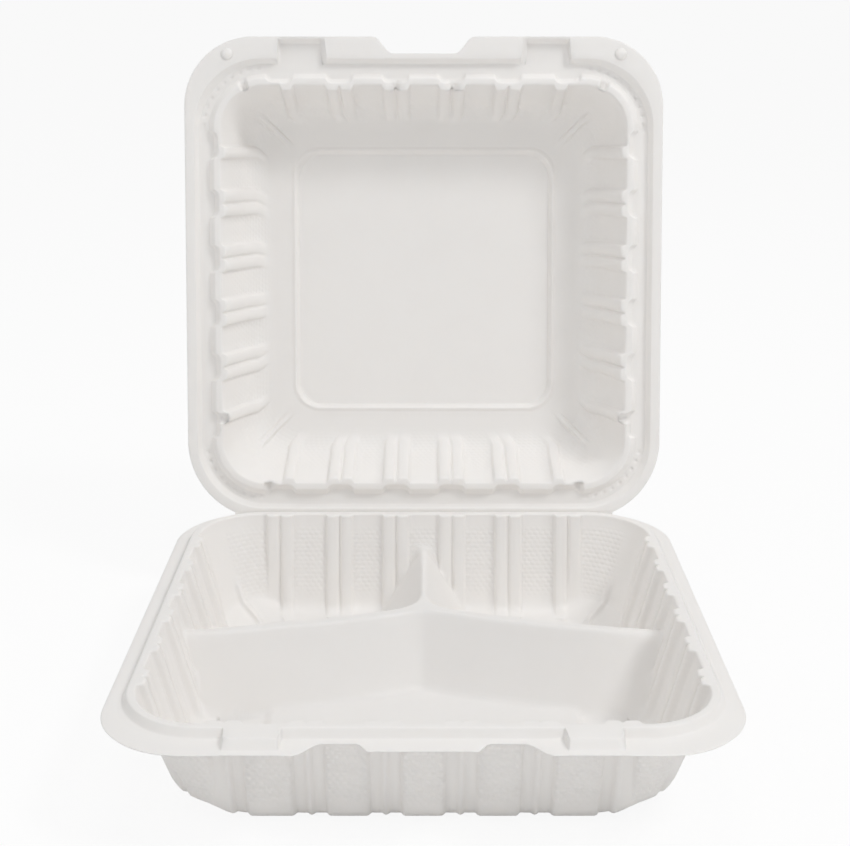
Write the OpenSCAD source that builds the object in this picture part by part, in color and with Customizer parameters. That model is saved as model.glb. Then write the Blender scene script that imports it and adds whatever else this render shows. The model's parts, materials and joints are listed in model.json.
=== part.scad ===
// Hinged three-compartment food container, thermoformed from one plastic sheet.
// Shown open: the base stands on its floor and the lid leans back on the hinge.
// Origin: centre of the resting face. X right, Y towards the hinge, Z up. Millimetres.

/* [Body] */
// Width over the side flanges
body_w = 229; // [205:1:255]
// Length from the front flange edge to the hinge line
body_l = 229; // [205:1:255]
// Height of the base flange above the resting face
base_h = 43; // [36:1:55]
// Depth of the lid below its flange, without the raised panel
lid_d = 34; // [26:1:48]
// Thickness of the formed sheet
sheet = 0.6; // [0.45:0.05:0.9]

/* [Flange and sealing ring] */
// Flange width beside the sealing ring
side_flange = 5.8; // [4.5:0.1:8]
// Flange width in front of the sealing ring
front_flange = 11.6; // [10.5:0.1:14]
// Flange width between the sealing ring and the hinge line
back_flange = 3.9; // [3.5:0.1:6]
// Height of the sealing ring above the flange
ring_h = 3.2; // [2:0.1:4]
// Inward lean of the ring's outer face
ring_lean = 1.8; // [1:0.1:2.4]
// Width of the ring's top
ring_top = 2.9; // [2:0.1:4]
// Room between the base's ring and the lid's channel
nest_gap = 0.6; // [0.5:0.05:0.9]
// Corner radius at the foot of the sealing ring
ring_r = 32; // [28:1:38]
// Front corner radius of the flange
flange_front_r = 33; // [28:1:38]
// Back corner radius of the flange
flange_back_r = 38; // [34:1:44]
// How far round the back corner the flange runs before the hinge line, degrees
back_sweep = 66; // [58:1:74]

/* [Walls] */
// Draft of the base walls, degrees
base_draft = 14; // [8:1:16]
// Panels between rib groups on each wall
panels = 5; // [5:2:7]
// Distance from the end ribs to the corner curve
rib_margin = 9.2; // [7:0.1:14]
// Width of a rib pair
rib_pair_w = 12.4; // [10:0.1:14]
// Distance between the two crests of a pair
rib_crests = 6.4; // [5:0.1:7]
// How far a rib stands into the cavity
rib_depth = 2; // [1:0.1:2.4]
// Corner radius of the base at the foot of the wall
foot_r = 32; // [24:1:36]
// Reach of the round between base wall and floor, up the wall and along the floor
base_round = 7; // [5:0.5:10]

/* [Lid form] */
// Width of the sloping outer face of the plug ridge
plug_slope = 2.4; // [1.6:0.1:3]
// Width of the top of the plug ridge
plug_top = 3.7; // [2.5:0.1:5]
// Half side of the flat around the raised panel
lid_flat = 75; // [70:1:78]
// Half side where lid walls and flat would meet without a round
lid_meet = 86.5; // [82:0.5:90]
// Part of the lid's depth taken by the straight wall
lid_wall_part = 0.58; // [0.5:0.01:0.7]

/* [Stacking panel] */
// Half side of the square panel
panel_half = 65.5; // [55:0.5:67]
// Corner radius of the panel
panel_r = 13; // [8:0.5:18]
// Width of the panel's sloping edge
panel_slope = 3; // [2:0.1:4]
// Height of the panel step
panel_rise = 2; // [1:0.1:3]

/* [Front latches] */
// Distance from the middle to the centre of a latch tongue
latch_x = 58.7; // [54:0.1:62]
// Width of a latch tongue
latch_w = 20.4; // [16:0.1:24]
// Reach of a latch tongue in front of the ring
latch_reach = 7; // [5:0.1:8]
// Lean of a tongue's ends
latch_lean = 0.6; // [0.3:0.1:1.2]
// Room around a tongue in the lid's pocket
latch_gap = 0.8; // [0.6:0.05:1.2]

/* [Finger tab] */
// Half width of the base's finger tab
tab_half = 17.5; // [14:0.1:20]
// How far the tab stays behind the front edge
tab_back = 2.7; // [1:0.1:4]
// Half width at the outer end of the notches beside the tab
notch_end = 40; // [38:0.1:42]
// Depth of the notches beside the tab
notch_depth = 7.7; // [5:0.1:8.5]
// Width of each sloping side of those notches
notch_ramp = 3.9; // [2.5:0.1:5]
// Half width of the lid's finger notch
lid_notch_half = 15; // [12:0.1:18]
// Depth of the lid's finger notch
lid_notch_depth = 7.9; // [5:0.1:8.5]
// Width of each sloping side of the lid's notch
lid_notch_ramp = 9.1; // [6:0.1:12]

/* [Divider] */
// Height of the divider's top above the resting face
divider_h = 31; // [22:0.5:34]
// Half width of the side arms' top
arm_top = 3.2; // [2.5:0.1:6]
// Half width of the back arm's top where it meets the wall
stem_top = 2; // [1.5:0.1:4]
// Rounding of the top's edges
divider_edge = 1.2; // [0.6:0.1:1.4]
// Lean of the divider's faces, degrees
divider_lean = 33; // [20:1:38]
// Distance from the middle back to where the three arms meet
divider_y = 34; // [20:1:45]
// Y position of the side arms' ends at the walls
divider_end_y = 5; // [0:0.5:18]
// Place of a side arm's bend: distance from the middle
divider_bend_x = 28.5; // [20:0.5:40]
// Place of a side arm's bend: Y position
divider_bend_y = 17; // [10:0.5:24]
// Length of the fillets between the back arm and the side arms
divider_fillet = 12; // [8:1:18]

/* [Hinge] */
// Radius of the bead on the hinge line
hinge_r = 0.45; // [0.35:0.05:0.6]
// Room between the bead and the lid
hinge_gap = 0.3; // [0.25:0.05:0.4]
// Lid angle from lying flat behind the base, degrees
lid_angle = 77; // [0:1:180]

/* [Hidden] */

// Warm white of the filled plastic
plastic = [0.87, 0.86, 0.84];

// Steps round a corner of the sheet, along a divider arm, round a divider post and round the bead
corner_steps = 4;
arm_steps = 4;
post_sides = 16;
bead_sides = 32;

// Height of the valley between two ribs of a pair, and of a rib halfway round the wall's foot
valley = 0.3;
rib_fade = 0.75;

// Points of a front edge between its middle and the first corner of a finger notch
middle_points = 3;

hinge_y = body_l / 2;
hinge_z = base_h + hinge_gap / 2;
web_end = hinge_r + hinge_gap;
hinge_half = body_w / 2 - flange_back_r + flange_back_r * cos(back_sweep);

// Rectangle at the foot of the sealing ring: half width, front edge, back edge and half length.
rim_x = body_w / 2 - side_flange;
rim_front = front_flange - body_l / 2;
rim_back = body_l / 2 - back_flange;
rim_half = (rim_back - rim_front) / 2;

// Rib groups lie at half pitches from the middle of a wall.
pitch_x = 2 * (rim_x - ring_r - rib_margin) / panels;
pitch_y = 2 * (rim_half - ring_r - rib_margin) / panels;

function flip(list) = [for (i = [len(list) - 1 : -1 : 0]) list[i]];
function unit(v) = v / norm(v);
function toward(a, b, part) = a + (b - a) * part;

// Middle of the round from a to b whose tangents meet at c.
function round_mid(a, c, b) = (a + 2 * c + b) / 4;

// Stations along a wall as [place, rib height]: half a pair at each end, whole pairs between.
function rib_end(c) = [[c, 0], [c + rib_crests / 2, 1], [c + rib_pair_w / 2, 0]];
function rib_pair(c) = [
    [c - rib_pair_w / 2, 0],
    [c - rib_crests / 2, 1],
    [c, valley],
    [c + rib_crests / 2, 1],
    [c + rib_pair_w / 2, 0]
];
function mirrored(list) = [for (p = flip(list)) [-p[0], p[1]]];
function stations(pitch) = concat(
    rib_end(-panels / 2 * pitch),
    [for (k = [1 : panels - 1]) each rib_pair((k - panels / 2) * pitch)],
    mirrored(rib_end(-panels / 2 * pitch))
);
stations_x = stations(pitch_x);
stations_y = stations(pitch_y);
half_count = len(stations_x) / 2;

// A special front edge is given for its right half, from the middle out, as [x, outward]:
// the corners of its feature, with plain points before and after them to make up the count.
function spread(count, from, to, out) =
    count < 1 ? [] : [for (k = [1 : count]) [toward(from, to, (k - 0.5) / count), out]];
function front_edge(before, corners, end) = let (
    first = corners[0],
    last = corners[len(corners) - 1],
    half = concat(
        spread(before, 0, first[0], first[1]),
        corners,
        spread(half_count - before - len(corners), last[0], end, last[1])
    )
) concat(mirrored(half), half);

// Front of the ring with a tongue on each side, grown sideways by room.
function tongue_front(reach, room) = let (
    inner = latch_x - latch_w / 2 - room,
    outer = latch_x + latch_w / 2 + room,
    corners = [[inner, 0], [inner, reach], [outer, reach], [outer, 0]]
) front_edge(half_count - len(corners) - 1, corners, rim_x - ring_r);

// Front edge of the base flange: finger tab between two notches with sloping sides.
tab_front = front_edge(middle_points, [
    [tab_half, -tab_back],
    [tab_half + notch_ramp / 2, -(tab_back + notch_depth) / 2],
    [tab_half + notch_ramp, -notch_depth],
    [notch_end - notch_ramp, -notch_depth],
    [notch_end, -notch_depth / 2],
    [notch_end + notch_ramp, 0]
], body_w / 2 - flange_front_r);

// Front edge of the lid flange: one finger notch in the middle.
lid_front = front_edge(middle_points, [
    [lid_notch_half, -lid_notch_depth],
    [lid_notch_half + lid_notch_ramp / 2, -lid_notch_depth / 2],
    [lid_notch_half + lid_notch_ramp, 0]
], body_w / 2 - flange_front_r);

// One ring of the sheet: [half width, front y, back y, front radius, back radius,
// back corner sweep, height, rib depth, special front].
function ring(xh, yf, yb, rf, rb, sweep, z, rib = 0, front = []) =
    [xh, yf, yb, rf, rb, sweep, z, rib, front];
function flange_ring(z, front) = ring(body_w / 2, -body_l / 2, hinge_y - web_end,
    flange_front_r, flange_back_r, back_sweep, z, 0, front);
function rim_ring(inset, r, z, rib = 0, front = []) =
    ring(rim_x - inset, rim_front + inset, rim_back - inset, r, r, 90, z, rib, front);
function square_ring(half, r, z) = ring(half, -half, half, r, r, 90, z);

// Stations are drawn together where a ring is too short for them.
function fitted(list, half) =
    let (reach = list[len(list) - 1][0], f = min(1, half / reach)) [for (s = list) [s[0] * f, s[1]]];

// Points of a ring, anticlockwise from the front left, as [x, y, outward x, outward y].
function corner(cx, cy, r, from, sweep) = [
    for (k = [0 : corner_steps])
        let (a = from + sweep * k / corner_steps)
            [cx + r * cos(a), cy + r * sin(a), cos(a), sin(a)]
];
function ring_points(s) = let (
    xh = s[0],
    yf = s[1],
    yb = s[2],
    rf = s[3],
    rb = s[4],
    sweep = s[5],
    rib = s[7],
    back_y = yb - rb * sin(sweep),
    front_y = yf + rf,
    mid_y = (front_y + back_y) / 2,
    back_half = xh - rb + rb * cos(sweep),
    along_x = fitted(stations_x, xh - rf),
    along_back = fitted(stations_x, back_half),
    along_y = fitted(stations_y, (back_y - front_y) / 2)
) concat(
    s[8] == [] ? [for (p = along_x) [p[0], yf + rib * p[1], 0, -1]]
               : [for (p = s[8]) [p[0], yf - p[1], 0, -1]],
    corner(xh - rf, front_y, rf, -90, 90),
    [for (p = along_y) [xh - rib * p[1], mid_y + p[0], 1, 0]],
    corner(xh - rb, back_y, rb, 0, sweep),
    [for (p = flip(along_back)) [p[0], yb - rib * p[1], 0, 1]],
    corner(rb - xh, back_y, rb, 180 - sweep, sweep),
    [for (p = flip(along_y)) [rib * p[1] - xh, mid_y + p[0], -1, 0]],
    corner(rf - xh, front_y, rf, 180, 90)
);

// Offset of the sheet's far side at each ring, as [outward, up], with mitred corners.
function far_side(rings, j) = let (
    run = [for (k = [max(j - 1, 0) : min(j, len(rings) - 2)])
        unit([rings[k + 1][0] - rings[k][0], rings[k + 1][6] - rings[k][6]])],
    n1 = [-run[0][1], run[0][0]],
    last = run[len(run) - 1],
    n2 = [-last[1], last[0]]
) sheet * (n1 + n2) / (1 + n1 * n2);

// The sheet's near and far faces at one ring.
function near_ring(rings, j) = [for (p = ring_points(rings[j])) [p[0], p[1], rings[j][6]]];
function far_ring(rings, j) = let (d = far_side(rings, j)) [
    for (p = ring_points(rings[j])) [p[0] + p[2] * d[0], p[1] + p[3] * d[0], rings[j][6] + d[1]]
];

// A closed solid through rings of points, from its top middle to its bottom middle.
module loft(outlines) {
    count = len(outlines);
    n = len(outlines[0]);
    function at(j, i) = j * n + i % n;
    top = count * n;
    points = concat(
        [for (outline = outlines) each outline],
        [[0, 0, outlines[0][0][2]], [0, 0, outlines[count - 1][0][2]]]
    );
    faces = concat(
        [for (j = [0 : count - 2]) for (i = [0 : n - 1])
            each [[at(j, i), at(j, i + 1), at(j + 1, i + 1)], [at(j, i), at(j + 1, i + 1), at(j + 1, i)]]],
        [for (i = [0 : n - 1]) [top, at(0, i + 1), at(0, i)]],
        [for (i = [0 : n - 1]) [top + 1, at(count - 1, i), at(count - 1, i + 1)]]
    );
    polyhedron(points = points, faces = faces, convexity = 10);
}

// A shell of even thickness: out along its near face, round the flange edge, back along its far face.
module formed_sheet(rings) {
    last = len(rings) - 1;
    loft(concat(
        [for (j = [last : -1 : 0]) near_ring(rings, j)],
        [for (j = [0 : last]) far_ring(rings, j)]
    ));
}

// Base: flange, step up to the sealing ring, drafted walls with ribs, round, floor and panel.
ring_top_z = base_h + ring_h;
wall_top_in = ring_lean + ring_top;
wall_foot_in = wall_top_in + (ring_top_z - base_round) * tan(base_draft);
wall_end_in = wall_foot_in + base_round * tan(base_draft);
floor_in = wall_end_in + base_round;
rim_rings = [
    flange_ring(base_h, tab_front),
    rim_ring(0, ring_r, base_h, 0, tongue_front(latch_reach, 0)),
    rim_ring(ring_lean, ring_r - ring_lean, ring_top_z, 0, tongue_front(latch_reach, -latch_lean))
];
tray_rings = [
    rim_ring(wall_top_in, ring_r - wall_top_in, ring_top_z, rib_depth),
    rim_ring(wall_foot_in, foot_r, base_round, rib_depth),
    rim_ring(round_mid(wall_foot_in, wall_end_in, floor_in), foot_r,
        round_mid(base_round, sheet, sheet), rib_depth * rib_fade),
    rim_ring(floor_in, foot_r, sheet),
    square_ring(panel_half, panel_r, sheet),
    square_ring(panel_half - panel_slope, panel_r - panel_slope / 2, sheet + panel_rise)
];
base_rings = concat(rim_rings, tray_rings);

// The divider's section, revolved: a cone with a rounded top, thinner by skin for the hollow below.
module divider_post(half_top, skin) {
    top = divider_h - skin;
    top_r = half_top - skin / 2;
    post_foot = half_top + divider_h * tan(divider_lean) - skin / cos(divider_lean);
    rotate_extrude($fn = post_sides)
        polygon([
            [0, -skin],
            [post_foot, -skin],
            [top_r, top - divider_edge],
            [top_r - divider_edge * (1 - cos(45)), top - divider_edge * (1 - sin(45))],
            [top_r - divider_edge, top],
            [0, top]
        ]);
}

// A straight run between two posts, each given as [place, half width of its top].
module divider_run(posts, skin) {
    hull()
        for (p = posts)
            translate(p[0])
                divider_post(p[1], skin);
}

// Posts along a side arm, from the junction along a smooth bend to the wall.
function side_arm(side) = let (
    meet = [0, divider_y, 0],
    bend = [side * divider_bend_x, divider_bend_y, 0],
    end = [side * rim_x, divider_end_y, 0]
) [
    for (k = [0 : arm_steps])
        let (t = k / arm_steps)
            [toward(toward(meet, bend, t), toward(bend, end, t), t), arm_top]
];

// Two bent side arms, a straight back arm and the fillets between them.
module divider(skin) {
    meet = [[0, divider_y, 0], arm_top];
    stem = [[0, rim_back, 0], stem_top];
    stem_fillet = [[0, divider_y + divider_fillet, 0], stem_top];
    divider_run([meet, stem], skin);
    for (side = [-1, 1]) {
        arm = side_arm(side);
        for (k = [0 : arm_steps - 1])
            divider_run([arm[k], arm[k + 1]], skin);
        divider_run([arm[0], arm[1], stem_fillet], skin);
    }
}

// Space inside the far face of the base walls, up to the top of the sealing ring.
module inside_walls() {
    loft([for (j = [len(rim_rings) : len(base_rings) - 1]) far_ring(base_rings, j)]);
}

module base_tray() {
    color(plastic)
        difference() {
            union() {
                formed_sheet(base_rings);
                intersection() {
                    divider(0);
                    inside_walls();
                }
            }
            divider(sheet);
        }
}

// Lid, drawn lying open: flange, channel, plug ridge, ribbed walls, round, flat and panel.
channel_d = ring_h + nest_gap;
channel_in = 2 * nest_gap;
plug_foot_in = wall_top_in + nest_gap;
plug_in = plug_foot_in + plug_slope;
cavity_in = plug_in + plug_top;
cavity_r = ring_r - cavity_in;

// A ring between the lid's cavity edge and the square where its walls would meet its flat.
function lid_wall(part) = [
    toward(rim_x - cavity_in, lid_meet, part),
    toward(rim_front + cavity_in, -lid_meet, part),
    toward(rim_back - cavity_in, lid_meet, part)
];
function lid_ring(place, z, rib) =
    ring(place[0], place[1], place[2], cavity_r, cavity_r, 90, z, rib);
lid_wall_end = lid_wall(lid_wall_part);
lid_wall_z = -lid_wall_part * lid_d;
lid_rings = [
    flange_ring(0, lid_front),
    rim_ring(-channel_in, ring_r, 0, 0, tongue_front(latch_reach + latch_gap, latch_gap + nest_gap)),
    rim_ring(ring_lean - channel_in, ring_r, -channel_d, 0, tongue_front(latch_reach + latch_gap, latch_gap)),
    rim_ring(plug_foot_in, ring_r - plug_foot_in, -channel_d, rib_depth),
    rim_ring(plug_in, ring_r - plug_in, 0, rib_depth),
    rim_ring(cavity_in, cavity_r, 0, rib_depth),
    lid_ring(lid_wall_end, lid_wall_z, rib_depth),
    lid_ring(round_mid(lid_wall_end, lid_wall(1), lid_flat * [1, -1, 1]),
        round_mid(lid_wall_z, -lid_d, -lid_d), rib_depth * rib_fade),
    square_ring(lid_flat, cavity_r, -lid_d),
    square_ring(panel_half, panel_r, -lid_d),
    square_ring(panel_half - panel_slope, panel_r - panel_slope / 2, -lid_d - panel_rise)
];

module lid() {
    color(plastic)
        translate([0, hinge_y, hinge_z])
            rotate([lid_angle, 0, 0])
                translate([0, body_l / 2, -hinge_gap / 2])
                    rotate([0, 0, 180])
                        formed_sheet(lid_rings);
}

// Hinge: a thin web along the back edge of the base flange, thickened to a bead on the hinge line.
module living_hinge() {
    color(plastic)
        union() {
            translate([-hinge_half, hinge_y, hinge_z])
                rotate([0, 90, 0])
                    cylinder(r = hinge_r, h = 2 * hinge_half, $fn = bead_sides);
            translate([-hinge_half, hinge_y - web_end, base_h - sheet / 2])
                cube([2 * hinge_half, web_end, sheet / 2]);
        }
}

base_tray();
lid();
living_hinge();
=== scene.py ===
import json
import math

import bmesh
import bpy
from mathutils import Matrix, Vector
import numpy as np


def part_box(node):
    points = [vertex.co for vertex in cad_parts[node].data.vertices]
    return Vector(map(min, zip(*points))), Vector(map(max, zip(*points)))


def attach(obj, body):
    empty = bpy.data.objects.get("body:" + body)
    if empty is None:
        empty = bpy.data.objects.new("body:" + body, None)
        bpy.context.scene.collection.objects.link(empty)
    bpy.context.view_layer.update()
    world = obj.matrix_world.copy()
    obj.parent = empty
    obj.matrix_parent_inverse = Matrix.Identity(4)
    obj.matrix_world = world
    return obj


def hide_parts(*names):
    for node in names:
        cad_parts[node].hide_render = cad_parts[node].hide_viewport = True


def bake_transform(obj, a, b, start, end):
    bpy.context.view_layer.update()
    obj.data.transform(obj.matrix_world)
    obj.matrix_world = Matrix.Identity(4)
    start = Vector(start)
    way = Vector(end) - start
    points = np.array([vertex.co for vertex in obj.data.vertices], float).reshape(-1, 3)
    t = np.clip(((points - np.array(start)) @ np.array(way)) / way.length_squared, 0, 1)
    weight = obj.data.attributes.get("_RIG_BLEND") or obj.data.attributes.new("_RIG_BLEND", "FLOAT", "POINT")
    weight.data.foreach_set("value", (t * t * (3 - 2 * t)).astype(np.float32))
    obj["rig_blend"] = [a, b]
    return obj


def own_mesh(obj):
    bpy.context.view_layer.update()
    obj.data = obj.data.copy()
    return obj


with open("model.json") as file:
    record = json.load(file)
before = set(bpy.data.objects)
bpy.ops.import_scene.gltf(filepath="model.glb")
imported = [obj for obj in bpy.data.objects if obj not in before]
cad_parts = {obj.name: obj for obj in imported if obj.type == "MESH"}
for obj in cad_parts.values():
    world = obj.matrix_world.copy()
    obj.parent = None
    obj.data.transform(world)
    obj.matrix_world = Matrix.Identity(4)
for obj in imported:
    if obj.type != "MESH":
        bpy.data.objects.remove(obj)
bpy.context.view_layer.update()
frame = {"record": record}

# Base tray
# The real piece is one sheet of white mineral-filled polypropylene, 0.6 mm thick, drawn over a mould
# with ribbed walls, a hollow divider and a raised ring for the lid. It carries the whole container.
MM = 0.001
tray_low, tray_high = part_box("base_tray")
joint = frame["record"]["behaviour"]["joints"][0]
hinge_y = joint["pos_m"][1] / MM
hinge_z = joint["pos_m"][2] / MM
sheet = 0.6
half_width = tray_high.x / MM
front_y = tray_low.y / MM
ring_top = tray_high.z / MM
ring_height = 3.2
flange_z = ring_top - ring_height
rim_x = half_width - 5.8
rim_front = front_y + 11.6
rim_back = hinge_y - 3.9
rim_middle = (rim_front + rim_back) / 2
rim_r = 32.0
flange_front_r = 33.0
flange_back_r = 38.0
back_sweep = math.radians(66)
hinge_half = half_width - flange_back_r + flange_back_r * math.cos(back_sweep)
web_end = 0.75
rib_depth = 2.4
rib_valley = 0.33
pair_half = 7.0
pitch_x = 27.0
pitch_y = 26.2
end_shift = 1.6
end_t = 77.5


def smooth(a):
    a = min(1.0, max(0.0, a))
    return a * a * (3 - 2 * a)


def lerp(a, b, t):
    return a + (b - a) * t


# A curve from a to c that leaves and arrives along the lines to b.
def curve(a, b, c, t):
    return (1 - t) ** 2 * a + 2 * t * (1 - t) * b + t * t * c


def soft_max(a, b, k):
    h = max(k - abs(a - b), 0.0) / k
    return max(a, b) + h * h * k / 4


def soft_min(a, b, k):
    return -soft_max(-a, -b, k)


# Height of the rib pairs along a wall, from 0 on a panel to 1 on a crest, with a groove between a pair.
# The outer rib of the last pair is only as high as outer says.
def rib(t, pitch, valley, outer, fall=1.6):
    a = abs(t)
    last = a > 2 * pitch
    middle = 2.5 * pitch + end_shift if last else (math.floor(a / pitch) + 0.5) * pitch
    s = abs(a - middle)
    low = valley * outer if last else valley
    if last and a > middle:
        return lerp(low, outer, smooth(s / 1.5)) * (1 - smooth((s - pair_half + fall) / fall))
    return lerp(low, 1.0, smooth(s / 1.5)) * (1 - smooth((s - pair_half + fall) / fall))


# Places along one wall, from its middle, that follow the ribs.
def wall_places(pitch):
    half = [0.8, 2.0, 3.6, 5.2]
    pair = [0.0, 0.45, 1.0, 1.5, 3.5, 5.4, 5.9, 6.5, pair_half]
    for middle in (0.5 * pitch, 1.5 * pitch, 2.5 * pitch + end_shift):
        half += [middle - s for s in reversed(pair[1:])] + [middle + s for s in pair]
        if middle < pitch:
            half += [middle + pair_half + (pitch - 2 * pair_half) * f for f in (0.33, 0.67)]
        elif middle < 2 * pitch:
            half += [middle + pair_half + d for d in (0.75, 1.15, 1.55, 1.95, 2.6, 8.5)]
    half.append(end_t)
    return [-t for t in reversed(half)] + half


places_x = wall_places(pitch_x)
places_y = wall_places(pitch_y)


# A point of one side at distance t from its middle, and its outward direction, in the side's own axes.
def side_point(t, half, reach, r):
    straight = half - r
    past = abs(t) - straight
    if past <= 0:
        return t, reach, 0.0, 1.0
    turn = past / r
    sign = 1 if t > 0 else -1
    along = sign * (straight + r * math.sin(turn))
    out = reach - r * (1 - math.cos(turn))
    return along, out, sign * math.sin(turn), math.cos(turn)


def side_length(half, r):
    return half - r + r * math.pi / 4


# The four sides run anticlockwise from the front: each gives its axes, its length and its reach.
def sides(half_x, front, back):
    middle = (front + back) / 2
    half_y = (back - front) / 2
    return [
        ((0, middle), (1, 0), (0, -1), half_x, half_y),
        ((0, middle), (0, 1), (1, 0), half_y, half_x),
        ((0, middle), (-1, 0), (0, 1), half_x, half_y),
        ((0, middle), (0, -1), (-1, 0), half_y, half_x),
    ]


def on_side(side, t, r):
    origin, along, out, half, reach = side
    a, b, na, nb = side_point(t, half, reach, r)
    x = origin[0] + along[0] * a + out[0] * b
    y = origin[1] + along[1] * a + out[1] * b
    return x, y, along[0] * na + out[0] * nb, along[1] * na + out[1] * nb


# The places on a side: where the ribs put them, drawn together on a short ring, and where they lie on it.
def side_places(places, end, corner):
    fit = min(1.0, (end - 2.5) / end_t)
    tail = [lerp(end_t, end / fit, f) for f in corner]
    whole = [-t for t in reversed(tail)] + list(places) + tail
    return [(t * fit, t) for t in whole]


# One ring of the sheet: for each place [x, y, outward x, outward y, distance from the side's middle].
def ring(half_x, front, back, r, corner, front_places=places_x):
    made = []
    for number, side in enumerate(sides(half_x, front, back)):
        end = side_length(side[3], r)
        own = [front_places, places_y, places_x, places_y][number]
        for spot, t in side_places(own, end, corner)[:-1]:
            made.append([*on_side(side, spot, r), t])
    return made


def rim_ring(inset, r, corner, front_places=places_x):
    return ring(rim_x - inset, rim_front + inset, rim_back - inset, r, corner, front_places)


# The flange's outer edge, whose back corners end on the hinge line.
def flange_ring(corner, front_places, front_shape):
    straight_y = hinge_y - web_end - flange_back_r * math.sin(back_sweep)
    centre_x = half_width - flange_back_r
    made = []
    whole = sides(half_width, front_y, hinge_y - web_end)
    front_end = side_length(half_width, flange_front_r)
    for spot, t in side_places(front_places, front_end, corner)[:-1]:
        x, y, nx, ny = on_side(whole[0], spot, flange_front_r)
        made.append([x, y + front_shape(x), nx, ny, t])
    right = []
    for f in reversed(corner):
        start = front_y + flange_front_r
        length = rim_middle - end_t - start + flange_front_r * math.pi / 4
        d = length * f
        turn = max(0.0, (d - (rim_middle - end_t - start)) / flange_front_r)
        y = max(start, rim_middle - end_t - d) - flange_front_r * math.sin(turn)
        x = half_width - flange_front_r * (1 - math.cos(turn))
        right.append([x, y, math.cos(turn), -math.sin(turn), -end_t - d])
    right += [[half_width, rim_middle + t, 1.0, 0.0, t] for t in places_y]
    flat = straight_y - rim_middle - end_t
    for f in corner:
        d = (flat + flange_back_r * back_sweep / 2) * f
        turn = max(0.0, (d - flat) / flange_back_r)
        y = rim_middle + end_t + min(d, flat) + flange_back_r * math.sin(turn)
        x = centre_x + flange_back_r * math.cos(turn)
        right.append([x, y, math.cos(turn), math.sin(turn), end_t + d])
    made += right[:-1]
    back = []
    for f in corner:
        flat = hinge_half - end_t
        d = (flat + flange_back_r * back_sweep / 2) * f
        turn = back_sweep - max(0.0, (d - flat) / flange_back_r)
        x = end_t + d if d < flat else centre_x + flange_back_r * math.cos(turn)
        y = straight_y + flange_back_r * math.sin(turn)
        back.append([x, y, 0.0, 1.0, end_t + d])
    made += [list(p) for p in reversed(back)]
    made += [[t, hinge_y - web_end, 0.0, 1.0, t] for t in reversed(places_x)]
    made += [[-p[0], p[1], p[2], p[3], p[4]] for p in back[:-1]]
    made += [[-p[0], p[1], -p[2], p[3], p[4]] for p in reversed(right[1:])]
    return made


# Places drawn close together where a shape needs them.
def crowd(count, low, high, peaks):
    fine = 4000
    total = [0.0]
    for k in range(fine):
        x = lerp(low, high, (k + 0.5) / fine)
        total.append(total[-1] + 1 + sum(a * math.exp(-(((x - c) / w) ** 2)) for c, w, a in peaks))
    made = []
    k = 0
    for i in range(count):
        want = total[-1] * i / (count - 1)
        while k < fine - 1 and total[k + 1] < want:
            k += 1
        made.append(lerp(low, high, (k + (want - total[k]) / (total[k + 1] - total[k])) / fine))
    made[0] = low
    made[-1] = high
    return made


tongue_in = 48.5
tongue_out = 68.9
tongue_reach = 8.0
tray_corner = [(k + 1) / 15 for k in range(15)]


# The front edge's places, with the nearest ones brought to each group of wanted places on both halves.
def brought_to(places, groups):
    half = [t for t in places if t > 0]
    for group in groups:
        size = len(group)
        starts = range(len(half) - size + 1)
        first = min(starts, key=lambda i: sum(abs(a - b) for a, b in zip(half[i:i + size], group)))
        half[first:first + size] = group
    half.sort()
    return [-t for t in reversed(half)] + half


tongue_groups = [
    [tongue_in - 0.25, tongue_in + 0.15, tongue_in + 0.55, tongue_in + 0.95, tongue_in + 1.6],
    [tongue_out - 0.95, tongue_out - 0.55, tongue_out - 0.15, tongue_out + 0.25],
]
tongue_places = brought_to(places_x, tongue_groups)
tray_front_places = brought_to(tongue_places, [[16.5, 17.8, 19.1, 20.4, 21.7, 23.0]])


def tongue(x, height):
    lean = 0.6 * height
    a = abs(x)
    return smooth((a - tongue_in - lean + 0.25) / 0.6) * smooth((tongue_out - lean + 0.25 - a) / 0.6)


def tab_shape(x):
    a = abs(x)
    notch = smooth((a - 16.5) / 6.5) * (1 - smooth((a - 34.5) / 9.5))
    tab = 2.7 * (1 - smooth((a - 16.5) / 6.5))
    return max(7.7 * notch, tab)


divider_top = 31.0
divider_slope = 1 / math.tan(math.radians(33))


# The divider's arms curve from the side walls to the stem that runs back to the hinge side.
def arm_y(x):
    a = min(math.hypot(x, 7.0), 108.7)
    s = (160.4 - math.sqrt(160.4**2 - 4 * 51.7 * (108.7 - a))) / (2 * 51.7)
    return 5 * (1 - s) ** 2 + 34 * s * (1 - s) + 34 * s * s


def divider_height(x, y):
    centre = arm_y(x)
    lean = arm_y(abs(x) + 0.5) - arm_y(abs(x) - 0.5)
    arm = abs(y - centre - 0.3) / math.sqrt(1 + lean * lean) - 2.5
    flare = 4.0 * smooth((y - 97) / 8)
    stem = abs(x) - 0.9 - flare if y > 34 else math.hypot(x, y - 34) - 0.9
    d = soft_min(arm, stem, 14.0) if y > centre else arm
    edge = 1.0
    if d < -edge:
        fall = 0.0
    elif d < edge:
        fall = (d + edge) ** 2 / (4 * edge)
    else:
        fall = d
    return divider_top - fall * divider_slope


panel_half = 65.5
panel_r = 13.0
panel_slope = 3.0
panel_rise = 2.0


def square_depth(x, y, half, r):
    qx = max(abs(x) - half + r, 0.0)
    qy = max(abs(y) - half + r, 0.0)
    inside = min(max(abs(x) - half + r, abs(y) - half + r), 0.0)
    return r - math.hypot(qx, qy) - inside


def tray_height(x, y, z):
    return soft_max(z, divider_height(x, y), 2.4)


def floor_height(x, y):
    return sheet + panel_rise * smooth(square_depth(x, y, panel_half, panel_r) / panel_slope)


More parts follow.
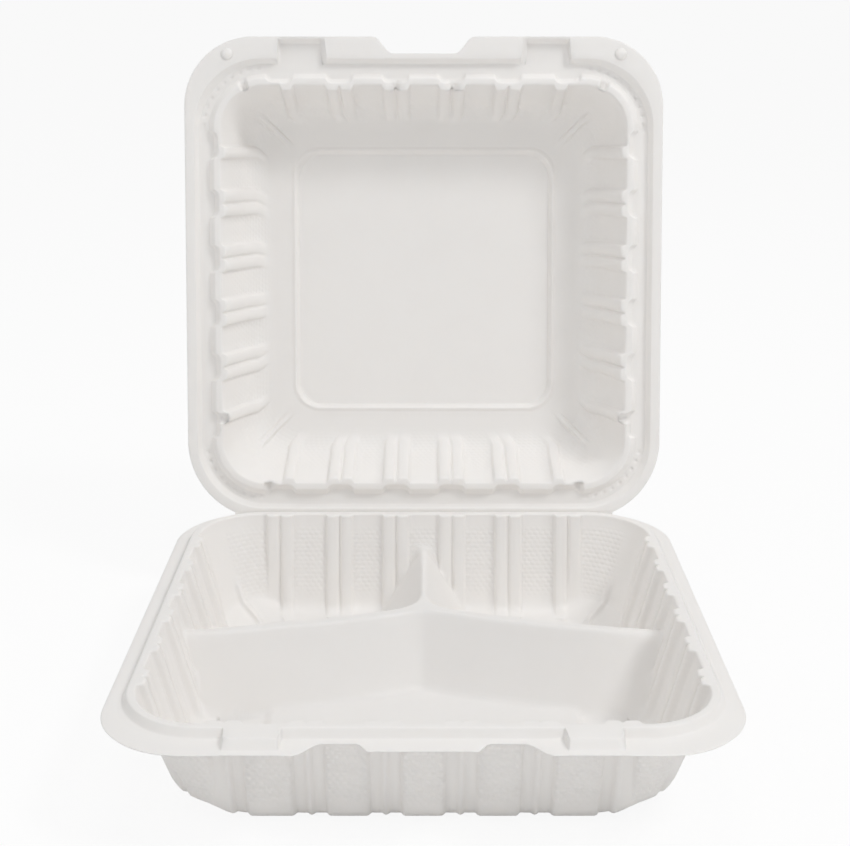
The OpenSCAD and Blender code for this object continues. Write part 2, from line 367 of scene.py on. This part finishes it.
# A sheet's points know their place on a ring, their place on the wall, and how much weave they carry.
def new_sheet():
    mesh = bmesh.new()
    mesh.verts.layers.int.new("place")
    for name in ("weave", "along", "upward"):
        mesh.verts.layers.float.new(name)
    return mesh


tray = new_sheet()
place = tray.verts.layers.int["place"]
floor_in = 25.2
foot_r = 28.0
floor_ring = rim_ring(floor_in, foot_r, tray_corner)
cells = len(floor_ring) // 4
floor_sides = sides(rim_x - floor_in, rim_front + floor_in, rim_back - floor_in)
side_end = [side_length(side[3], foot_r) for side in floor_sides]
stations = []
for number, own in enumerate((places_x, places_y)):
    listed = side_places(own, side_end[number], tray_corner)
    stations.append([(spot / side_end[number] + 1) / 2 for spot, t in listed])
# The floor's grid is drawn together at the divider and at the panel's edge: middle, width and weight.
peaks_x = [(0.5, 0.028, 3.4), (0.5, 0.12, 0.8), (0.09, 0.016, 1.4), (0.91, 0.016, 1.4)]
peaks_y = [(0.53, 0.03, 3.6), (0.53, 0.13, 0.8), (0.09, 0.016, 1.2), (0.9, 0.016, 1.2)]
wanted_x = crowd(cells + 1, 0, 1, peaks_x)
wanted_y = crowd(cells + 1, 0, 1, peaks_y)
arm_start = arm_y(82)


def floor_place(i, j):
    inner = smooth(min(i, j, cells - i, cells - j) / 16)
    u = lerp(stations[0][i], wanted_x[i], inner)
    v = lerp(stations[1][j], wanted_y[j], inner)
    low = on_side(floor_sides[0], lerp(-1, 1, u) * side_end[0], foot_r)
    high = on_side(floor_sides[2], lerp(1, -1, u) * side_end[2], foot_r)
    left = on_side(floor_sides[3], lerp(1, -1, v) * side_end[3], foot_r)
    right = on_side(floor_sides[1], lerp(-1, 1, v) * side_end[1], foot_r)
    corners = [
        on_side(floor_sides[0], -side_end[0], foot_r),
        on_side(floor_sides[0], side_end[0], foot_r),
        on_side(floor_sides[2], side_end[2], foot_r),
        on_side(floor_sides[2], -side_end[2], foot_r),
    ]
    spot = []
    for n in (0, 1):
        ruled = lerp(low[n], high[n], v) + lerp(left[n], right[n], u)
        flat = lerp(lerp(corners[0][n], corners[1][n], u), lerp(corners[2][n], corners[3][n], u), v)
        spot.append(ruled - flat)
    x, y = spot
    near = 1 - abs(y - arm_start) / (88 if y < arm_start else 74)
    y += (arm_y(x) - arm_start) * min(1.0, 1.45 * max(0.0, near)) * inner
    return x, y


bmesh.ops.create_grid(tray, x_segments=cells, y_segments=cells, size=1)
for v in tray.verts:
    i = round((v.co.x + 1) / 2 * cells)
    j = round((v.co.y + 1) / 2 * cells)
    v[place] = -1
    if j == 0:
        v[place] = i
    elif i == cells:
        v[place] = cells + j
    elif j == cells:
        v[place] = 3 * cells - i
    elif i == 0:
        v[place] = 4 * cells - j
    x, y = floor_place(i, j)
    v.co = (x, y, tray_height(x, y, floor_height(x, y)))


# Draws the sheet's open edge out to a further ring.
def draw_out(mesh, spots, along_list, up, masks):
    rim = [e for e in mesh.edges if e.is_boundary]
    drawn = bmesh.ops.extrude_edge_only(mesh, edges=rim)["geom"]
    fresh = [e for e in drawn if isinstance(e, bmesh.types.BMVert)]
    layers = mesh.verts.layers
    for v in fresh:
        k = v[layers.int["place"]]
        v.co = spots[k]
        v[layers.float["along"]] = along_list[k]
        v[layers.float["upward"]] = up
        v[layers.float["weave"]] = masks[k]


def pitch_at(k, count):
    return pitch_x if (k * 4 // count) % 2 == 0 else pitch_y


# The small diagonal bar in each corner.
def corner_bar(nx, ny, r):
    off = r * abs(math.atan2(abs(ny), abs(nx)) - math.pi / 4)
    return 1 - smooth((off - 0.8) / 1.2)


# Moves a ring in at its ribs and puts it at its height, with the bars in the corners moved in or lifted.
def ribbed(points, z, amount, valley, outer, fall=1.6, bar_in=0.0, bar_up=0.0, r=20.0):
    made = []
    for k, (x, y, nx, ny, t) in enumerate(points):
        bar = corner_bar(nx, ny, r)
        inward = rib_depth * amount * rib(t, pitch_at(k, len(points)), valley, outer, fall) + bar_in * bar
        made.append((x - nx * inward, y - ny * inward, z + bar_up * bar))
    return made


wall_top_in = 4.7
wall_foot_in = 14.5
foot_in = 23.2
foot_rise = 7.0


def wall_r(inset):
    if inset < wall_top_in:
        return rim_r - inset
    down = (inset - wall_top_in) / (wall_foot_in - wall_top_in)
    return lerp(rim_r - wall_top_in, foot_r, smooth(down))


# Each corner of the tray is cut off slanting at the foot.
def corner_cut(inset, z, nx, ny):
    turn = abs(math.degrees(math.atan2(abs(ny), abs(nx))) - 45)
    cut = lerp(0.6, 9.5, min(1.0, max(0.0, (24.6 - inset) / 11.9)))
    return lerp(z, max(z, cut), 1 - smooth((turn - 12) / 30)) if 12.7 < inset < 24.2 else z


# The wall from the floor to the ring's top: how far in, how high, how deep the ribs are, how much weave.
tray_profile = [(24.2, sheet, 0.35, 0.0), (foot_in, sheet, 0.75, 0.0)]
for n in range(1, 8):
    t = n / 7
    inset = curve(foot_in, 16.2, wall_foot_in, t)
    rise = curve(sheet, sheet, foot_rise, t)
    tray_profile.append((inset, rise, 0.8 + 0.2 * t, 0.0))
for n in range(1, 12):
    t = n / 11
    inset = lerp(wall_foot_in, wall_top_in, t)
    rise = lerp(foot_rise, ring_top - 1.1, t)
    tray_profile.append((inset, rise, 1.0, smooth(t / 0.15) * smooth((0.92 - t) / 0.08)))
for inset, below, amount in ((4.6, 0.6, 1.0), (4.35, 0.22, 0.97), (3.9, 0.03, 0.92), (3.5, 0.0, 0.85)):
    tray_profile.append((inset, ring_top - below, amount, 0.0))
side_weave = 0.15
length = 0.0
last = (floor_in, sheet)
for inset, rise, amount, woven in tray_profile:
    points = rim_ring(inset, wall_r(inset), tray_corner)
    length += math.hypot(inset - last[0], rise - last[1])
    last = (inset, rise)
    outer = smooth((rise - 4) / 30)
    bump = 1.7 * smooth((inset - 11.5) / 1.5) * smooth((24.5 - inset) / 2)
    spots = ribbed(points, rise, amount, rib_valley, outer, 1.6, 0.6 * bump, 0.0, wall_r(inset))
    lifted = []
    for (x, y, z), point in zip(spots, points):
        nx, ny = point[2:4]
        z = corner_cut(inset, z, nx, ny) + 0.8 * bump * corner_bar(nx, ny, wall_r(inset))
        lifted.append((x, y, tray_height(x, y, z)))
    spots = lifted
    masks = []
    for k, p in enumerate(points):
        pitch = pitch_at(k, len(points))
        strength = woven if pitch == pitch_x else woven * side_weave
        masks.append(strength * (1 - smooth(rib(p[4], pitch, 1, 1) * 1.6)))
    draw_out(tray, spots, [p[4] for p in points], length, masks)

# The ring's outer side: how far in, and how high above the flange. The latch tongues reach out of it.
ring_profile = [
    (2.6, 3.2), (1.9, 3.2), (1.5, 3.13), (1.22, 2.9), (1.05, 2.55),
    (-0.3, 0.4), (-0.5, 0.12), (-0.85, 0.0),
]
for inset, rise in ring_profile:
    points = rim_ring(inset, rim_r - inset, tray_corner, tongue_places)
    height = rise / ring_height
    spots = []
    for k, (x, y, nx, ny, t) in enumerate(points):
        latch = k < cells and abs(t) <= end_t
        reach = (tongue_reach - 0.65 * height) * tongue(x, height) if latch else 0.0
        spots.append((x, y - reach, flange_z + rise))
    draw_out(tray, spots, [p[4] for p in points], length, [0.0] * len(points))



# The flange runs from the last ring to its own edge, where it turns down a little.
def draw_flange(mesh, foot, edge, z, upward):
    for part, drop in ((0.3, 0.0), (0.65, 0.0), (0.93, 0.02), (0.985, 0.1), (1.0, 0.25)):
        spots = [(lerp(f[0], e[0], part), lerp(f[1], e[1], part), z - drop) for f, e in zip(foot, edge)]
        draw_out(mesh, spots, [e[4] for e in edge], upward, [0.0] * len(edge))


draw_flange(tray, spots, flange_ring(tray_corner, tray_front_places, tab_shape), flange_z, length)


# Turns the drawn sheet into an object, with the walls' own coordinates for the moulded weave.
def make_sheet(name, mesh, turn):
    layers = mesh.verts.layers
    uv = mesh.loops.layers.uv.new("sheet")
    for face in mesh.faces:
        for corner in face.loops:
            place_u = corner.vert[layers.float["along"]]
            seam = max(abs(place_u - v[layers.float["along"]]) for v in face.verts) > end_t
            corner[uv].uv = (abs(place_u) if seam else place_u, corner.vert[layers.float["upward"]])
    bmesh.ops.transform(mesh, matrix=Matrix.Scale(MM, 4) @ turn, verts=mesh.verts)
    bmesh.ops.recalc_face_normals(mesh, faces=mesh.faces)
    data = bpy.data.meshes.new(name)
    mesh.to_mesh(data)
    mesh.free()
    for polygon in data.polygons:
        polygon.use_smooth = True
    made = bpy.data.objects.new(name, data)
    bpy.context.scene.collection.objects.link(made)
    return made


weave_row = 2.1
weave_column = 2.7


# Matt white plastic, slightly cloudy, that lets a little light in. Relief is the weave's strength.
def filled_plastic(name, relief):
    made = bpy.data.materials.new(name)
    made.use_nodes = True
    nodes = made.node_tree.nodes
    links = made.node_tree.links
    shader = nodes["Principled BSDF"]
    shader.inputs["Roughness"].default_value = 0.48
    shader.inputs["IOR"].default_value = 1.48
    shader.inputs["Subsurface Weight"].default_value = 0.4
    shader.inputs["Subsurface Radius"].default_value = (1.0, 0.95, 0.9)
    shader.inputs["Subsurface Scale"].default_value = 0.0015
    coords = nodes.new("ShaderNodeTexCoord")
    cloud = nodes.new("ShaderNodeTexNoise")
    cloud.inputs["Scale"].default_value = 60
    cloud.inputs["Detail"].default_value = 4
    tint = nodes.new("ShaderNodeMix")
    tint.data_type = "RGBA"
    tint.inputs["A"].default_value = (0.914, 0.888, 0.862, 1)
    tint.inputs["B"].default_value = (0.936, 0.910, 0.884, 1)
    links.new(coords.outputs["Object"], cloud.inputs["Vector"])
    links.new(cloud.outputs["Fac"], tint.inputs["Factor"])
    links.new(tint.outputs["Result"], shader.inputs["Base Color"])
    own = nodes.new("ShaderNodeUVMap")
    own.uv_map = "sheet"
    axes = nodes.new("ShaderNodeSeparateXYZ")
    links.new(own.outputs["UV"], axes.inputs["Vector"])

    def calc(operation, a, b=0.0):
        step = nodes.new("ShaderNodeMath")
        step.operation = operation
        for socket, value in zip(step.inputs, (a, b)):
            if isinstance(value, (int, float)):
                socket.default_value = value
            else:
                links.new(value, socket)
        return step.outputs["Value"]

    rows = calc("MULTIPLY", axes.outputs["Y"], 1 / weave_row)
    stagger = calc("MULTIPLY", calc("FLOOR", rows), 0.5)
    columns = calc("ADD", calc("MULTIPLY", axes.outputs["X"], 1 / weave_column), stagger)
    strands = calc("ABSOLUTE", calc("SINE", calc("MULTIPLY", columns, math.pi)))
    lanes = calc("ABSOLUTE", calc("SINE", calc("MULTIPLY", rows, math.pi)))
    knots = calc("MULTIPLY", strands, lanes)
    mask = nodes.new("ShaderNodeAttribute")
    mask.attribute_name = "weave"
    bump = nodes.new("ShaderNodeBump")
    bump.inputs["Strength"].default_value = relief
    bump.inputs["Distance"].default_value = 0.0003
    links.new(calc("MULTIPLY", knots, mask.outputs["Fac"]), bump.inputs["Height"])
    links.new(bump.outputs["Normal"], shader.inputs["Normal"])
    return made


plastic = filled_plastic("filled_plastic", 0.55)
outside = filled_plastic("filled_plastic_outside", 0.9)


def thicken(made):
    skin = made.modifiers.new("sheet", "SOLIDIFY")
    skin.thickness = sheet * MM
    skin.offset = -1
    skin.material_offset = 1
    made.data.materials.append(plastic)
    made.data.materials.append(outside)


tray_object = make_sheet("tray_sheet", tray, Matrix.Identity(4))
if tray_object.data.polygons[0].normal.z < 0:
    tray_object.data.flip_normals()
thicken(tray_object)
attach(tray_object, "base")
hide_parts("base_tray")

# Lid
# A second shallow dish of the same sheet: a channel that fits over the tray's ring, a plug ridge inside
# it, ribbed walls, a rounded shoulder and a square panel. It folds over on the hinge.
lid_angle = math.radians(-joint["range_deg"][0])
lid_depth = 33.5
panel_deep = 2.2
channel_depth = 3.8
lid_flat = 75.0
lid_meet = 86.5
cavity_in = 11.4
cavity_r = 20.6
wall_part = 0.58
lid_corner = []
for n in range(5):
    lid_corner += [(n + f) / 5 for f in (0.12, 0.32, 0.5, 0.68, 0.88, 1.0)]
pocket_in = tongue_in + 0.4
pocket_out = tongue_out + 0.9
pocket_reach = 9.3
pocket_groups = [
    [pocket_in - 2.4, pocket_in - 2.0, pocket_in - 1.6, pocket_in, pocket_in + 0.4, pocket_in + 0.8],
    [pocket_out - 0.7, pocket_out - 0.35, pocket_out, pocket_out + 0.3, pocket_out + 0.6],
]
lid_front_places = brought_to(places_x, [[15.5, 17, 18.5, 20, 21.5, 23], *pocket_groups])


def lid_notch(x):
    return 7.9 * (1 - smooth((abs(x) - 15) / 9.1))


def pocket(x, height):
    a = abs(x)
    return smooth((a - pocket_in + 2.4 * height) / 0.7) * smooth((pocket_out + 0.5 * height - a) / 0.7)


def lid_wall(part):
    half_x = lerp(rim_x - cavity_in, lid_meet, part)
    front = lerp(rim_front + cavity_in, -lid_meet, part)
    back = lerp(rim_back - cavity_in, lid_meet, part)
    return half_x, front, back


lid = new_sheet()
place = lid.verts.layers.int["place"]
first = ring(30.0, -30.0, 30.0, 6.0, lid_corner)
count = len(first)
bmesh.ops.create_circle(lid, cap_ends=True, segments=count, radius=1)
lid.verts.ensure_lookup_table()
order = sorted(lid.verts, key=lambda v: math.atan2(v.co.y, v.co.x))
for k, v in enumerate(order):
    v[place] = k
    v.co = (first[k][0], first[k][1], -lid_depth - panel_deep)
length = 0.0
# The panel, the bead round it and the flat: half width, corner radius, and depth past the flat.
flat_rings = [
    (48, 9, panel_deep), (60, 11, panel_deep), (62, 11.4, panel_deep), (62.4, 11.5, panel_deep),
    (62.7, 11.6, 2.15), (62.95, 11.7, 1.9), (63.1, 11.8, 1.5), (64.0, 12.3, 0.0),
    (64.2, 12.4, -0.3), (64.5, 12.5, -0.6), (64.9, 12.7, -0.7), (65.3, 12.9, -0.6),
    (65.8, 13.2, -0.25), (66.2, 13.4, -0.07), (66.7, 13.7, 0.0), (70, 16.5, 0.0), (74, 20, 0.0),
]
for half, r, deep in flat_rings:
    points = ring(half, -half, half, r, lid_corner)
    spots = [(p[0], p[1], -lid_depth - deep) for p in points]
    draw_out(lid, spots, [p[4] for p in points], length, [0.0] * count)
wall_end = lid_wall(wall_part)
meet = lid_wall(1)
flat = (lid_flat, -lid_flat, lid_flat)
for n in range(1, 11):
    t = n / 10
    reaches = [curve(a, b, c, t) for a, b, c in zip(flat, meet, wall_end)]
    z = curve(-lid_depth, -lid_depth, -wall_part * lid_depth, t)
    length += 2.6
    points = ring(*reaches, cavity_r, lid_corner)
    bump = 1.8 * smooth((t - 0.02) / 0.1) * smooth((0.85 - t) / 0.25)
    spots = ribbed(points, z, smooth((t - 0.08) / 0.4), rib_valley, 0.0, 1.6, bump * t, bump * (1 - t))
    masks = [1 - smooth(rib(p[4], pitch_at(k, count), 1, 0) * 1.6) for k, p in enumerate(points)]
    draw_out(lid, spots, [p[4] for p in points], length, [0.5 * m * smooth(t / 0.3) for m in masks])
for n in range(1, 7):
    t = wall_part * (1 - n / 6)
    z = -t * lid_depth - (0.0 if n < 6 else 0.5)
    length += 3.4
    points = ring(*lid_wall(t), cavity_r, lid_corner)
    spots = ribbed(points, z, 1.0, rib_valley, 0.0)
    masks = [1 - smooth(rib(p[4], pitch_at(k, count), 1, 0) * 1.6) for k, p in enumerate(points)]
    draw_out(lid, spots, [p[4] for p in points], length, [0.5 * m * smooth((4 - n) / 3) for m in masks])


# Short breaks in the plug ridge, on every side and in the two front corners.
def vent(k, x, y):
    side = k * 4 // count
    cuts = []
    if side == 0:
        cuts = [abs(abs(x) - 14.0)]
    if side in (1, 3):
        cuts = [abs(y - 68.0)]
    if side == 2:
        cuts = [abs(abs(x) - 75.5)]
    if y < 0:
        cuts.append(abs(math.degrees(math.atan2(-y - 71.0, abs(x) - 77.0)) - 66) * 0.45)
    return 1 - smooth((min(cuts) - 1.2) / 1.4) if cuts else 0.0


# The plug ridge: how far in, how high, how full the ribs' grooves and last ribs are, how deep the breaks.
plug_profile = [
    (11.0, -0.12, rib_valley, 0.0, 1.0), (10.5, 0.0, 0.6, 0.0, 1.0), (8.6, 0.0, 1.0, 0.6, 1.0),
    (8.1, -0.08, 1.0, 0.78, 1.0), (7.75, -0.35, 1.0, 0.88, 0.9), (5.6, -3.45, 1.0, 1.0, 0.0),
    (5.35, -3.7, 1.0, 1.0, 0.0), (5.0, -3.8, 1.0, 1.0, 0.0),
]
for inset, z, valley, outer, cut in plug_profile:
    points = rim_ring(inset, rim_r - inset, lid_corner)
    spots = ribbed(points, z, 1.0, valley, outer, 1.6 if valley < 1 else 2.4)
    spots = [(x, y, lerp(h, min(h, -2.8), cut * vent(k, x, y))) for k, (x, y, h) in enumerate(spots)]
    draw_out(lid, spots, [p[4] for p in points], length, [0.0] * count)
dot_r = 28.9
dot_step = 9
dot_deep = 0.8
dot_middle_x = 77.0


# Small dots in the channel's floor, in a row round each corner.
def dimple(x, y):
    cx = math.copysign(dot_middle_x, x)
    cy = -71.1 if y < 0 else 77.9
    if abs(x) < dot_middle_x or (y - cy) * math.copysign(1, y) < 0:
        return 0.0
    turn = math.degrees(math.atan2(abs(y - cy), abs(x - cx)))
    spot = math.radians((math.floor(turn / dot_step) + 0.5) * dot_step)
    d = math.hypot(abs(x - cx) - dot_r * math.cos(spot), abs(y - cy) - dot_r * math.sin(spot))
    return 1 - smooth(d / 1.15)


for inset in (4.2, 3.7, 3.2, 2.7, 2.2, 1.7, 1.2):
    points = rim_ring(inset, rim_r - inset, lid_corner)
    spots = [(p[0], p[1], -channel_depth - dot_deep * dimple(p[0], p[1])) for p in points]
    draw_out(lid, spots, [p[4] for p in points], length, [0.0] * count)
for inset, z in ((0.75, -3.75), (0.5, -3.5), (-0.95, -0.4), (-1.15, -0.1), (-1.5, 0.0)):
    points = rim_ring(inset, rim_r, lid_corner, lid_front_places)
    spots = []
    for k, (x, y, nx, ny, t) in enumerate(points):
        latch = k < count // 4 and abs(t) <= end_t
        reach = pocket_reach * pocket(x, 1 + z / channel_depth) if latch else 0.0
        spots.append((x, y - reach, z))
    draw_out(lid, spots, [p[4] for p in points], length, [0.0] * count)
draw_flange(lid, spots, flange_ring(lid_corner, lid_front_places, lid_notch), 0.0, length)

lid_over = Matrix.Translation((0, hinge_y, flange_z - hinge_z)) @ Matrix.Rotation(math.pi, 4, "Z")
lid_turn = Matrix.Translation((0, hinge_y, hinge_z)) @ Matrix.Rotation(lid_angle, 4, "X") @ lid_over
lid_object = make_sheet("lid_sheet", lid, lid_turn)
if lid_object.data.polygons[0].normal.y > 0:
    lid_object.data.flip_normals()
thicken(lid_object)
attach(lid_object, "lid")
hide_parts("lid")

# Lid pips
# Two small round bumps raised in the lid's flange at its front corners, formed with the sheet. In the real
# piece they press flat as the lid closes on the tray.
pip_x = 94.0
pip_y = -106.2
pip_z = -0.1
pip_r = 2.9
pip_height = 1.35
pips = bmesh.new()
for side in (-1, 1):
    dome = bmesh.ops.create_uvsphere(pips, u_segments=28, v_segments=14, radius=1)["verts"]
    bmesh.ops.scale(pips, vec=(pip_r, pip_r, pip_height), verts=dome)
    bmesh.ops.translate(pips, vec=(side * pip_x, pip_y, pip_z), verts=dome)
whole = pips.verts[:] + pips.edges[:] + pips.faces[:]
bmesh.ops.bisect_plane(pips, geom=whole, plane_co=(0, 0, -0.3), plane_no=(0, 0, -1), clear_outer=True)
bmesh.ops.holes_fill(pips, edges=[e for e in pips.edges if e.is_boundary])
bmesh.ops.recalc_face_normals(pips, faces=pips.faces)
bmesh.ops.transform(pips, matrix=Matrix.Scale(MM, 4) @ lid_turn, verts=pips.verts)
pip_data = bpy.data.meshes.new("lid_pips")
pips.to_mesh(pip_data)
pips.free()
for polygon in pip_data.polygons:
    polygon.use_smooth = True
pip_object = bpy.data.objects.new("lid_pips", pip_data)
bpy.context.scene.collection.objects.link(pip_object)
pip_data.materials.append(plastic)
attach(pip_object, "lid")
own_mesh(pip_object)

# Living hinge
# A line pressed thin in the same sheet, so that it bends instead of breaking. It joins the two flanges
# along the back.
strip = bmesh.new()
bmesh.ops.create_grid(strip, x_segments=1, y_segments=8, size=1)
fold = Vector((0, math.cos(lid_angle), math.sin(lid_angle)))
strip_reach = 1.1
groove = 1.1
for v in strip.verts:
    t = v.co.y
    reach = Vector((0, -1, 0)) if t < 0 else fold
    spot = Vector((0, hinge_y, flange_z - 0.22 - groove * (1 - abs(t)))) + reach * (abs(t) * strip_reach)
    v.co = (v.co.x * hinge_half, spot.y, spot.z)
bmesh.ops.transform(strip, matrix=Matrix.Scale(MM, 4), verts=strip.verts)
strip_data = bpy.data.meshes.new("hinge_strip")
strip.to_mesh(strip_data)
strip.free()
strip_object = bpy.data.objects.new("hinge_strip", strip_data)
bpy.context.scene.collection.objects.link(strip_object)
web = strip_object.modifiers.new("web", "SOLIDIFY")
web.thickness = 0.3 * MM
web.offset = 0
strip_data.materials.append(plastic)
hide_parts("living_hinge")
start = Vector((0, hinge_y - 0.6, flange_z)) * MM
end = Vector((0, hinge_y + 0.4, flange_z + 0.9)) * MM
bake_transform(strip_object, "base", "lid", start, end)

# Studio
# The container stands on a white table in front of white. The main light comes from the upper right,
# with softer ones above, on the left and low in front.
floor_data = bpy.data.meshes.new("floor")
table = bmesh.new()
bmesh.ops.create_grid(table, x_segments=1, y_segments=1, size=90)
table.to_mesh(floor_data)
table.free()
floor = bpy.data.objects.new("floor", floor_data)
bpy.context.scene.collection.objects.link(floor)
paper = bpy.data.materials.new("white_table")
paper.use_nodes = True
nodes = paper.node_tree.nodes
links = paper.node_tree.links
shader = nodes["Principled BSDF"]
shader.inputs["Base Color"].default_value = (0.95, 0.95, 0.95, 1)
shader.inputs["Roughness"].default_value = 0.9
glow = nodes.new("ShaderNodeEmission")
rays = nodes.new("ShaderNodeLightPath")
share = nodes.new("ShaderNodeMath")
share.operation = "MULTIPLY"
share.inputs[1].default_value = 0.9
mixed = nodes.new("ShaderNodeMixShader")
links.new(rays.outputs["Is Camera Ray"], share.inputs[0])
links.new(share.outputs["Value"], mixed.inputs["Fac"])
links.new(shader.outputs["BSDF"], mixed.inputs[1])
links.new(glow.outputs["Emission"], mixed.inputs[2])
links.new(mixed.outputs["Shader"], nodes["Material Output"].inputs["Surface"])
floor_data.materials.append(paper)

world = bpy.data.worlds.new("studio")
bpy.context.scene.world = world
world.use_nodes = True
nodes = world.node_tree.nodes
links = world.node_tree.links
sky = nodes["Background"]
sky.inputs["Color"].default_value = (1, 1, 1, 1)
rays = nodes.new("ShaderNodeLightPath")
level = nodes.new("ShaderNodeMapRange")
level.inputs["To Min"].default_value = 0.49
level.inputs["To Max"].default_value = 1.0
links.new(rays.outputs["Is Camera Ray"], level.inputs["Value"])
links.new(level.outputs["Result"], sky.inputs["Strength"])


def softbox(name, spot, aim, size, power):
    lamp = bpy.data.lights.new(name, "AREA")
    lamp.shape = "SQUARE"
    lamp.size = size
    lamp.energy = power
    made = bpy.data.objects.new(name, lamp)
    made.location = spot
    made.rotation_euler = (Vector(aim) - Vector(spot)).to_track_quat("-Z", "Y").to_euler()
    bpy.context.scene.collection.objects.link(made)


softbox("key", (0.95, -0.5, 1.45), (0, 0.05, 0.1), 0.35, 9)
softbox("top", (0.0, 0.1, 1.8), (0, 0.05, 0.1), 0.7, 3.5)
softbox("fill", (-1.1, -0.7, 1.0), (0, 0.05, 0.1), 0.8, 2)
softbox("low", (0.2, -1.5, 0.1), (0, 0, 0.05), 0.2, 0.6)

camera_data = bpy.data.cameras.new("camera")
camera_data.sensor_width = 36
photo_width = 850
focal_pixels = 1436
camera_data.lens = camera_data.sensor_width * focal_pixels / photo_width
camera = bpy.data.objects.new("camera", camera_data)
camera.location = (0.0006, -0.542, 0.290)
looks_down = 16.99
camera.rotation_euler = (math.radians(90 - looks_down), 0, 0)
bpy.context.scene.collection.objects.link(camera)
bpy.context.scene.camera = camera
bpy.context.scene.view_settings.view_transform = "Standard"
